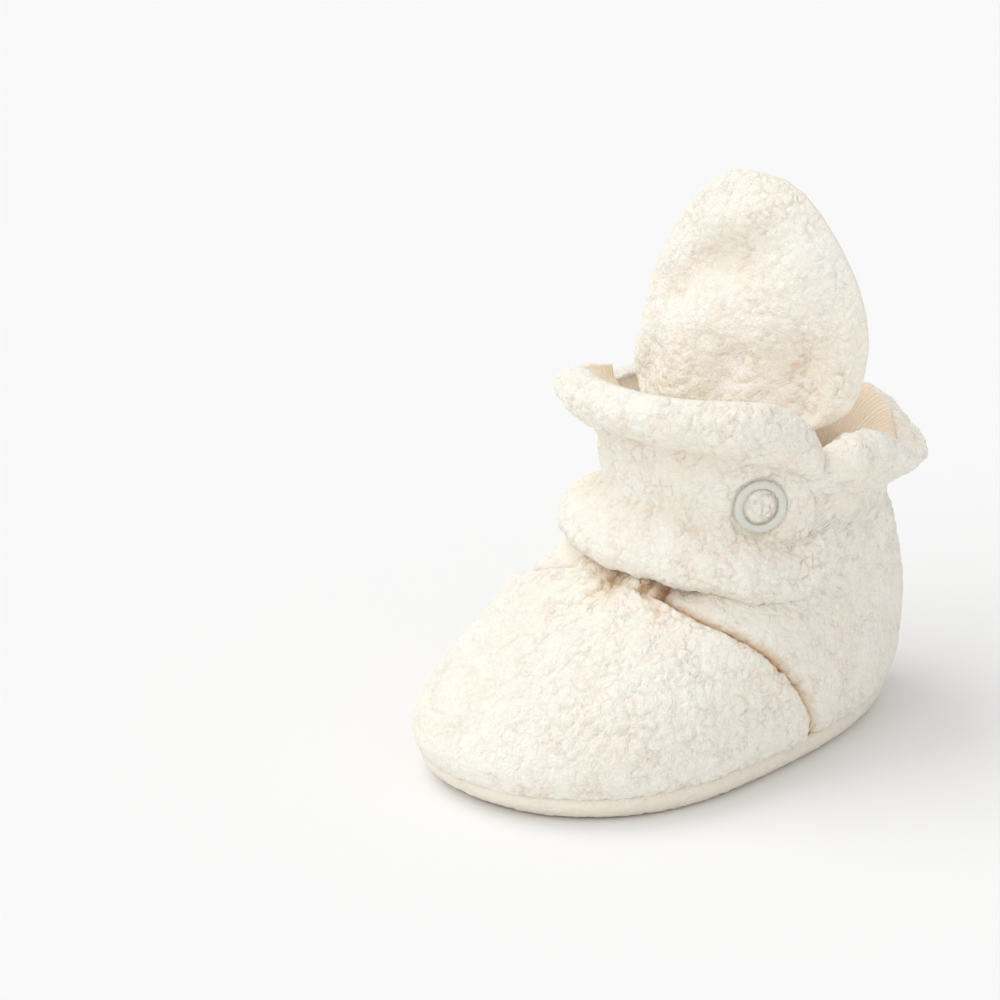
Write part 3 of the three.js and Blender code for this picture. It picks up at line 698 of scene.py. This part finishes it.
bed_rings = np.concatenate([np.linspace(0.02, 0.9, 30), np.linspace(0.93, 1, 6)])
pad_low, pad_high = (c[2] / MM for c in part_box("sole_padding"))
sole_pad = footbed("sole_padding_piece", pad_low, pad_high, 4.6, bed_rings)
sole_pad.data.materials.append(wadding)
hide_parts("sole_padding")
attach(sole_pad, "root")
bed_low, bed_high = (c[2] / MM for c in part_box("insole_lining"))
insole = footbed("insole_piece", bed_low, bed_high, 4.6, bed_rings)
insole.data.materials.append(peach_jersey)
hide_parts("insole_lining")
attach(insole, "root")


# ---------- tab under the strap ----------
# A fleece tab backed with jersey runs forward from the heel piece's outer side, under the strap, to past
# the middle of the instep. It carries the snap's stud on its face and a plain ring behind, both fixed
# through the cloth.
def smooth_table(table, at, column):
    """A value of a table at a place, smoothed between its rows."""
    span = np.linspace(-1, 1, 9)[:, None] * 0.5
    width = np.median(np.diff(table[:, 0]))
    weights = np.hanning(11)[1:-1][:, None]
    values = np.interp(np.asarray(at, float)[None, :] + span * width, table[:, 0], table[:, column])
    return (values * weights).sum(0) / weights.sum()


STRAP = np.array([  # angle, foot, top of the lower flap, foot of the upper roll, top, and how far it lies in
    (-82, 36.0, 46.5, 57.0, 65.0, 0.0), (-60, 36.0, 47.0, 58.5, 67.5, -1.5),
    (-45, 36.0, 47.5, 59.5, 69.0, -3.2), (-30, 36.2, 48.3, 60.0, 70.5, -3.0),
    (-10, 36.6, 49.3, 60.6, 71.4, -1.0), (20, 36.4, 49.4, 60.6, 71.4, 0.0),
    (40, 34.0, 47.0, 58.6, 71.4, 0.0), (60, 32.0, 43.5, 56.0, 70.6, 0.0),
    (70, 31.2, 41.5, 54.0, 66.8, 0.0), (79, 31.0, 40.0, 52.0, 61.0, 0.0),
])
SNAP_ANGLE = 55.0
SNAP_Z = 49.8
snap_step = np.array(on_outline(NECK, SNAP_ANGLE + 1, 1.27)) - np.array(on_outline(NECK, SNAP_ANGLE, 1.27))
snap_axis = Vector((float(snap_step[1]), -float(snap_step[0]), 0)).normalized()
snap_middle = Vector([float(c) for c in on_outline(NECK, SNAP_ANGLE, 1.27)] + [SNAP_Z])
TAB_D = -5.7
tab_low, tab_high = (np.array(c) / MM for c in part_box("underlap_shell"))
tab_angles = -20 + 106 * (1 - np.cos(np.linspace(0.05, np.pi / 2, 150)))
tab_z = np.linspace(tab_low[2], tab_high[2], 52)
tab_round = np.sqrt(np.clip(1 - (1 - np.clip((tab_angles + 20) * 0.5 / 7, 0, 1)) ** 2, 0, 1))
middle_z = tab_z.mean()
tab_rows = []
for share in np.linspace(-1, 1, 52):
    x, y = on_outline(NECK, tab_angles, TAB_D + smooth_table(STRAP, tab_angles, 5))
    z = middle_z + share * (tab_z[-1] - middle_z) * (0.4 + 0.6 * tab_round)
    tab_rows.append(np.stack([x, y, z], 1))
tab_flat = np.stack(tab_rows)
tab_out = facing_out(tab_flat)
off_axis, axis = tab_flat - np.array(snap_middle), np.array(snap_axis)
off_axis = np.linalg.norm(off_axis - (off_axis @ axis)[:, :, None] * axis, axis=2)
edges = np.minimum(1, np.stack([np.minimum(np.arange(52), np.arange(52)[::-1])] * 150, 1) / 3)
tab_shaped = tab_flat + tab_out * (-1.5 * np.exp(-((off_axis / 5.2) ** 8)) - 0.9 * (1 - edges))[:, :, None]
# Its crease attribute paints shade in the pile's partings.
tab_pile, tab_crease_shade = pile(tab_shaped, tab_out, 0.5, 2.3, 20)
tab = closed_shell("tab_piece", tab_pile, tab_flat - tab_out * FLEECE_THICK, False, tab_crease_shade)
tab.data.materials.append(cream_fleece)
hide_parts("underlap_shell")
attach(tab, "root")
tab_back = (tab_flat - tab_out * (FLEECE_THICK + 0.15))[1:-1:2, 1:-1:2]
tab_lining = closed_shell(
    "tab_lining_piece", tab_back, tab_back - facing_out(tab_back) * LINING_THICK, False)
cloth_layout(tab_lining, tab_back)
tab_lining.data.materials.append(peach_jersey)
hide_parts("underlap_lining")
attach(tab_lining, "root")


# ---------- stud and back ring ----------
# The snap's lower half: a pressed steel stud on the tab's face, and an enamelled ring behind that holds it.
# Nickel-plated steel, tumbled satin, with faint scuffs from use.
satin_steel = new_material("satin_nickel_steel")
where = add_node(satin_steel, "ShaderNodeTexCoord").outputs["Object"]
scuffs = add_node(satin_steel, "ShaderNodeTexNoise", {"Scale": 900, "Detail": 4}, Vector=where)
scuff_rough = add_node(satin_steel, "ShaderNodeMapRange", {3: 0.25, 4: 0.5}, Value=scuffs.outputs["Fac"])
scuff_relief = add_node(satin_steel, "ShaderNodeBump", {
    "Strength": 0.1, "Distance": 0.0001}, Height=scuffs.outputs["Fac"])
steel_shader = add_node(satin_steel, "ShaderNodeBsdfPrincipled", {
    "Base Color": linear("#C9C7C1"), "Metallic": 1.0,
}, Roughness=scuff_rough.outputs[0], Normal=scuff_relief.outputs["Normal"])
add_node(satin_steel, "ShaderNodeOutputMaterial", Surface=steel_shader.outputs[0])

# Matt baked enamel, pale grey to match the cloth, over pressed steel; very slightly orange-peeled.
pale_enamel = new_material("pale_grey_enamel")
where = add_node(pale_enamel, "ShaderNodeTexCoord").outputs["Object"]
peel = add_node(pale_enamel, "ShaderNodeTexNoise", {"Scale": 1400, "Detail": 3}, Vector=where)
enamel_shade = add_node(pale_enamel, "ShaderNodeMix", {
    "data_type": "RGBA", 6: linear("#D9D9D0"), 7: linear("#E3E3DB")}, Factor=peel.outputs["Fac"])
peel_relief = add_node(pale_enamel, "ShaderNodeBump", {
    "Strength": 0.2, "Distance": 0.0001}, Height=peel.outputs["Fac"])
enamel_shader = add_node(pale_enamel, "ShaderNodeBsdfPrincipled", {
    "Roughness": 0.5, "Specular IOR Level": 0.4,
}, Base_Color=enamel_shade.outputs[2], Normal=peel_relief.outputs["Normal"])
add_node(pale_enamel, "ShaderNodeOutputMaterial", Surface=enamel_shader.outputs[0])


def at_snap(depth):
    """Place and turn for a round piece on the snap's axis, at a distance out from the band."""
    turn = snap_axis.to_track_quat("Z", "Y").to_euler()
    return {"location": (snap_middle + snap_axis * depth) * MM, "rotation": turn}


def select_faces(piece, wanted):
    """Leaves edit mode with the faces selected whose centre and normal pass a test."""
    bpy.ops.object.mode_set(mode="EDIT")
    bpy.ops.mesh.select_mode(type="FACE")
    bpy.ops.mesh.select_all(action="DESELECT")
    bpy.ops.object.mode_set(mode="OBJECT")
    for face in piece.data.polygons:
        face.select = wanted(face)
    bpy.ops.object.mode_set(mode="EDIT")


def finish_hard(piece, name, edge, material, node, body):
    """Softens a hard piece's edges, puts its origin at the frame's and hands it over."""
    bpy.ops.object.mode_set(mode="OBJECT")
    bpy.ops.object.transform_apply(location=True, rotation=True, scale=True)
    piece.name = name
    bevel = piece.modifiers.new("edge", "BEVEL")
    bevel.width, bevel.segments, bevel.limit_method = edge * MM, 3, "ANGLE"
    piece.data.shade_smooth()
    piece.data.materials.append(material)
    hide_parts(node)
    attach(piece, body)


RING_RADIUS, RING_HALF = 4.3, 0.72  # the ring's middle line, and half its band's width


def flat_ring(depth, thick):
    """An annular band on the snap's axis: a torus pressed flat."""
    bpy.ops.object.select_all(action="DESELECT")
    bpy.ops.mesh.primitive_torus_add(
        major_segments=96, minor_segments=20, major_radius=RING_RADIUS * MM, minor_radius=RING_HALF * MM,
        **at_snap(depth))
    ring = bpy.context.object
    ring.scale = (1, 1, thick / (2 * RING_HALF))
    return ring


bpy.ops.object.select_all(action="DESELECT")
bpy.ops.mesh.primitive_cylinder_add(vertices=64, radius=4.3 * MM, depth=0.8 * MM, **at_snap(TAB_D - 2.0))
stud = bpy.context.object
select_faces(stud, lambda face: face.normal.z > 0.9)
bpy.ops.mesh.inset(thickness=2.4 * MM)
bpy.ops.mesh.extrude_region_move(TRANSFORM_OT_translate={"value": snap_axis * 1.7 * MM})
bpy.ops.mesh.extrude_region_move(TRANSFORM_OT_translate={"value": snap_axis * 0.5 * MM})
bpy.ops.transform.resize(value=(1.15, 1.15, 1.15))
finish_hard(stud, "snap_stud_piece", 0.15, satin_steel, "snap_stud", "root")
back_ring = flat_ring(TAB_D - FLEECE_THICK - LINING_THICK - 2.3, 1.0)
finish_hard(back_ring, "snap_back_ring_piece", 0.05, pale_enamel, "snap_back_ring", "root")


# ---------- strap ----------
# A padded band of fleece backed with jersey, bagged out so that its edges swell into a flap and a roll.
# It is sewn in at the inner side seam; its free end is turned and rounded.
STRAP_FACE = np.array([  # from the foot up: place among the four heights, and how far the face stands out
    (0.0, 4.4), (0.12, 7.4), (0.3, 8.1), (0.55, 6.6), (0.8, 3.8), (0.97, 1.1), (1.1, 0.1), (1.75, 0.0),
    (1.98, 0.5), (2.12, 3.4), (2.3, 6.6), (2.55, 8.3), (2.8, 7.6), (2.94, 5.6), (3.0, 3.6),
])
STRAP_BACK = np.array([  # the same for its back
    (0.0, 3.4), (0.15, 1.6), (0.4, -0.9), (0.75, -2.9), (1.0, -3.5), (2.0, -3.5), (2.2, -3.0), (2.5, -1.6),
    (2.8, 0.4), (3.0, 2.6),
])
STRAP_LIFT = 1.5
STRAP_FREE_END = 80.0


def strap_grid(angles, places, face):
    """Points of a face of the strap: one row at each angle, running from the foot to the top."""
    lines = [smooth_table(STRAP, angles, c) for c in range(1, 6)]
    out = smooth_table(face, places, 1)
    heights = np.stack(lines[:4], 1)
    k = np.minimum(places.astype(int), 2)
    z = heights[:, k] + (heights[:, k + 1] - heights[:, k]) * (places - k)[None, :]
    lift = STRAP_LIFT * (angles + 80) / 159
    ease = (1 - 0.62 * np.clip((angles - 48) / 31, 0, 1) ** 1.4
            - 0.85 * np.clip((-60 - angles) / 20, 0, 1) ** 1.5)
    d = out[None, :] * np.where(out > 0, ease[:, None], 1) + (lines[4] + lift)[:, None]
    x, y = on_outline(NECK, np.broadcast_to(angles[:, None], d.shape), d)
    return np.stack([x, y, z], 2)


def quarter_round(run, radius):
    """Rises from 0 to 1 over a radius, as a quarter of a circle does."""
    return np.sqrt(np.clip(1 - (1 - np.clip(run / radius, 0, 1)) ** 2, 0, 1))


strap_angles = np.concatenate([
    np.linspace(-80, 70, 230), 70 + 10 * np.sin(np.linspace(0.05, np.pi / 2, 46))])
strap_places = np.linspace(0, 3, 104)
left = np.maximum(STRAP_FREE_END - strap_angles, 0) * 0.5  # the cloth left to its free end
fullness = quarter_round(left, 3.0)[:, None]
face = strap_grid(strap_angles, strap_places, STRAP_FACE)
back = strap_grid(strap_angles, strap_places, STRAP_BACK)
for side in (face, back):  # the corners of the free end are round, the lower one more so
    for edge, reach, radius in ((0, 0.62, 8.0), (-1, 0.3, 5.0)):
        middle = 0.5 * (side[:, :1, 2] + side[:, -1:, 2])
        drawn = 1 - reach * (1 - quarter_round(left, radius))[:, None]
        half = side[:, :, 2] < middle if edge == 0 else side[:, :, 2] >= middle
        side[:, :, 2] = np.where(half, middle + (side[:, :, 2] - middle) * drawn, side[:, :, 2])
core = 0.5 * (face + back)
face = core + (face - core) * fullness[:, :, None]
back = core + (back - core) * fullness[:, :, None]
by_angle, by_place = strap_angles[:, None], strap_places[None, :]
waves = 0.55 * ripples(by_angle / 17.0, 0.8 * by_place, 4.4) + 0.3 * ripples(by_angle / 6.5, by_place, 9.1)
on_rolls = np.clip(np.abs(strap_places - 1.5) - 0.4, 0, 1)[None, :]
seam_dip = edge_dip(np.abs(strap_angles + 17.5)[:, None] * 0.55, 0.9, 0.9) * (strap_places > 2.0)[None, :]
to_band = np.minimum(np.abs(strap_places - 1.0), np.abs(strap_places - 2.02))[None, :] * 10
snap_run = np.linalg.norm(face - np.array(snap_middle), axis=2)
snap_press = (-0.9 * np.exp(-(((snap_run - RING_RADIUS) / 1.25) ** 4))
              - 0.25 * np.exp(-((snap_run / 6.5) ** 6)))
shape = (1.5 * waves * on_rolls + seam_dip + edge_dip(to_band, 1.5, 1.2) + snap_press
         + 0.5 * waves * (1 - on_rolls)) * fullness
face = soften(face + facing_out(face) * shape[:, :, None], 5)
face_pile, strap_crease_shade = pile(face, facing_out(face), PILE)
flatter = np.clip(np.abs(snap_run - RING_RADIUS) - 0.5, 0.15, 1)[:, :, None]
face = face + (face_pile - face) * flatter * (fullness**2)[:, :, None]
# Painted shade in the pile's partings, along the creases between the band and its rolls, and in the seam's
# dip.
strap_crease_shade = np.clip(strap_crease_shade * flatter[:, :, 0] + 0.35 * np.exp(-to_band / 1.2)
                       + 0.5 * (-seam_dip / 0.9), 0, 1.2)
loop_grid = np.concatenate([face, back[:, ::-1]], 1)
loop_crease_shade = np.concatenate([strap_crease_shade, np.zeros_like(strap_crease_shade)], 1)


def closed_loop(name, grid, crease_shade, ribs_up_rows=False):
    """A closed body from rows that each run round a section, capped at both ends. The second half of each
    row is its back, which takes the piece's second material."""
    rows, columns = grid.shape[:2]
    half = columns // 2
    index = np.arange(rows * columns).reshape(rows, columns)
    nxt = np.roll(index, -1, 1)
    faces = np.stack([index[:-1], nxt[:-1], nxt[1:], index[1:]], -1).reshape(-1, 4).tolist()
    on_back = np.tile(np.arange(columns) >= half, rows - 1).tolist()
    for row in (0, rows - 1):
        one = index[row]
        for j in range(half - 1):
            faces.append([int(q) for q in (one[j], one[j + 1], one[columns - 2 - j], one[columns - 1 - j])])
            on_back.append(False)
    mesh = bpy.data.meshes.new(name)
    mesh.from_pydata((grid.reshape(-1, 3) * MM).tolist(), [], faces)
    mesh.polygons.foreach_set("material_index", np.array(on_back, int))
    # The crease attribute carries painted shade for the fleece's colour.
    shaded_creases = mesh.attributes.new("crease_shade", "FLOAT", "POINT")
    shaded_creases.data.foreach_set("value", crease_shade.ravel().astype(np.float32))
    piece = bpy.data.objects.new(name, mesh)
    bpy.context.scene.collection.objects.link(piece)
    around = np.cumsum(np.linalg.norm(np.diff(grid, axis=1, prepend=grid[:, :1]), axis=2), 1)
    along = np.cumsum(np.linalg.norm(np.diff(grid, axis=0, prepend=grid[:1]), axis=2), 0)
    by_row, by_column = np.median(along, 1).repeat(columns), np.tile(np.median(around, 0), rows)
    lay_out(piece, *((by_column, by_row) if ribs_up_rows else (by_row, by_column)))
    bpy.ops.object.select_all(action="DESELECT")
    bpy.context.view_layer.objects.active = piece
    piece.select_set(True)
    bpy.ops.object.mode_set(mode="EDIT")
    bpy.ops.mesh.select_all(action="SELECT")
    bpy.ops.mesh.remove_doubles(threshold=0.00001)
    bpy.ops.mesh.normals_make_consistent(inside=False)
    bpy.ops.object.mode_set(mode="OBJECT")
    piece.data.shade_smooth()
    return piece


strap = closed_loop("strap_piece", loop_grid, loop_crease_shade)
strap.data.materials.append(cream_fleece)
strap.data.materials.append(peach_jersey)
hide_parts("strap_shell", "strap_root_shell", "strap_lining", "strap_root_lining")
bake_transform(strap)


# ---------- snap ring and socket ----------
# The snap's upper half: a pale enamelled ring pressed into the strap's pile, and a steel socket behind it.
snap_ring = flat_ring(-0.15, 0.9)
finish_hard(snap_ring, "snap_ring_piece", 0.05, pale_enamel, "snap_ring", "strap")
bpy.ops.object.select_all(action="DESELECT")
bpy.ops.mesh.primitive_cylinder_add(vertices=64, radius=4.6 * MM, depth=2.0 * MM, **at_snap(-3.8))
socket = bpy.context.object
select_faces(socket, lambda face: face.normal.z < -0.9)
bpy.ops.mesh.inset(thickness=1.7 * MM)
bpy.ops.mesh.extrude_region_move(TRANSFORM_OT_translate={"value": snap_axis * 1.5 * MM})
finish_hard(socket, "snap_socket_piece", 0.2, satin_steel, "snap_socket", "strap")


# ---------- tongue ----------
# The toe piece's fleece runs on up as a tall petal, faced behind with jersey and turned, so its edge
# is soft.
# It stands up by itself, dented where it has been folded.
hinge_y, hinge_z = (frame["joints"][1]["pos_m"][i] / MM for i in (1, 2))
PETAL = np.array([  # height, half width, thickness
    (35.0, 8.2, 2.6), (45, 9.0, 2.8), (54, 10.6, 3.0), (58, 14.0, 3.2), (60.5, 21.5, 3.8), (63, 26.0, 4.2),
    (66, 27.4, 4.6), (70, 27.8, 5.0), (76, 27.6, 5.2), (82, 26.2, 5.2), (88, 23.6, 5.0), (94, 19.6, 4.8),
    (99, 15.0, 4.4), (102.5, 10.8, 3.8), (104.6, 6.6, 2.8), (105.4, 2.0, 1.2),
])
petal_z = np.concatenate([np.linspace(35, 100, 150), 100 + 5.4 * np.sin(np.linspace(0.04, np.pi / 2, 34))])
petal_half = np.interp(petal_z, PETAL[:, 0], PETAL[:, 1])
kernel = np.hanning(15) / np.hanning(15).sum()
petal_half[7:-40] = np.convolve(petal_half, kernel, "same")[7:-40]
petal_thick = np.interp(petal_z, PETAL[:, 0], PETAL[:, 2])
root_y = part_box("tongue_root_shell")[0][1] / MM
up_root = np.clip((petal_z - 35) / (hinge_z - 35), 0, 1)
PETAL_LEAN = math.tan(math.radians(19))
petal_y = root_y + (hinge_y - root_y) * up_root**1.5 + np.maximum(petal_z - hinge_z, 0) * PETAL_LEAN
petal_y += 2.0 * np.clip((petal_z - 80) / 26, 0, 1) ** 2
petal_bow = np.interp(petal_z, [35, 60, 66, 106], [15, 29, 34, 40])
across = np.sin(np.linspace(-np.pi / 2, np.pi / 2, 110))
x = petal_half[:, None] * across[None, :]
z = petal_z[:, None] + 0 * x
edge = np.maximum(np.sqrt(np.clip(1 - np.abs(across) ** 7, 0, 1))[None, :], 0.02)
bend = x**2 / (2 * petal_bow[:, None])
front, rear = (
    np.stack([x, petal_y[:, None] + bend + petal_thick[:, None] * 0.5 * (1 + side * edge), z], 2)
    for side in (-1, 1))


def hollow(x0, z0, x1, z1, width):
    """A soft trough along a line on the petal, 1 at its middle."""
    along = np.array([x1 - x0, z1 - z0])
    t = np.clip(((x - x0) * along[0] + (z - z0) * along[1]) / (along @ along), 0, 1)
    away = np.hypot(x - x0 - t * along[0], z - z0 - t * along[1])
    return np.exp(-((away / width) ** 2))


dents = sum(depth * hollow(*trough) for depth, *trough in (  # depth, the line's two ends, and its half width
    (-3.0, -13, 82, 5, 92, 5.0), (-3.0, 20, 60, 17, 72, 5.5), (2.4, -5, 68, -7, 79, 7.5),
    (-1.6, -19, 62, -15, 69, 4.0), (-1.4, 2, 62, 6, 72, 3.0), (1.2, 10, 80, 16, 90, 6.0),
    (1.3, -6, 97, 6, 97, 5.0)))
to_side = 1 - np.abs(across[None, :])
dents = dents * np.clip((z - 56) / 8, 0, 1) * np.clip(to_side * 5, 0, 1)
soft = ripples(x / 9.0, z / 12.0, 7.7)
shift = (-dents - 1.1 * soft * np.clip((z - 58) / 6, 0, 1)) * np.clip(to_side * 6, 0, 1)
front[:, :, 1] += shift
rear[:, :, 1] += 0.8 * shift
petal_out = grid_normals(front, False)
if petal_out[80, 55, 1] > 0:
    petal_out = -petal_out
petal_face, petal_crease_shade = pile(front, petal_out, PILE)
rim = np.clip(to_side * 14, 0.3, 1)[:, :, None]
front = front + (petal_face - front) * rim
# Painted shade in the pile's partings and in the dents.
petal_crease_shade = np.clip(petal_crease_shade + 0.10 * np.clip(-dents, 0, 3), 0, 1.2)
petal_loop = np.concatenate([front, rear[:, ::-1]], 1)
petal = closed_loop("tongue_piece", petal_loop, np.concatenate([petal_crease_shade, 0 * petal_crease_shade], 1), True)
petal.data.materials.append(cream_fleece)
petal.data.materials.append(peach_jersey)
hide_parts("tongue_shell", "tongue_root_shell", "tongue_lining", "tongue_root_lining")
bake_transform(petal)
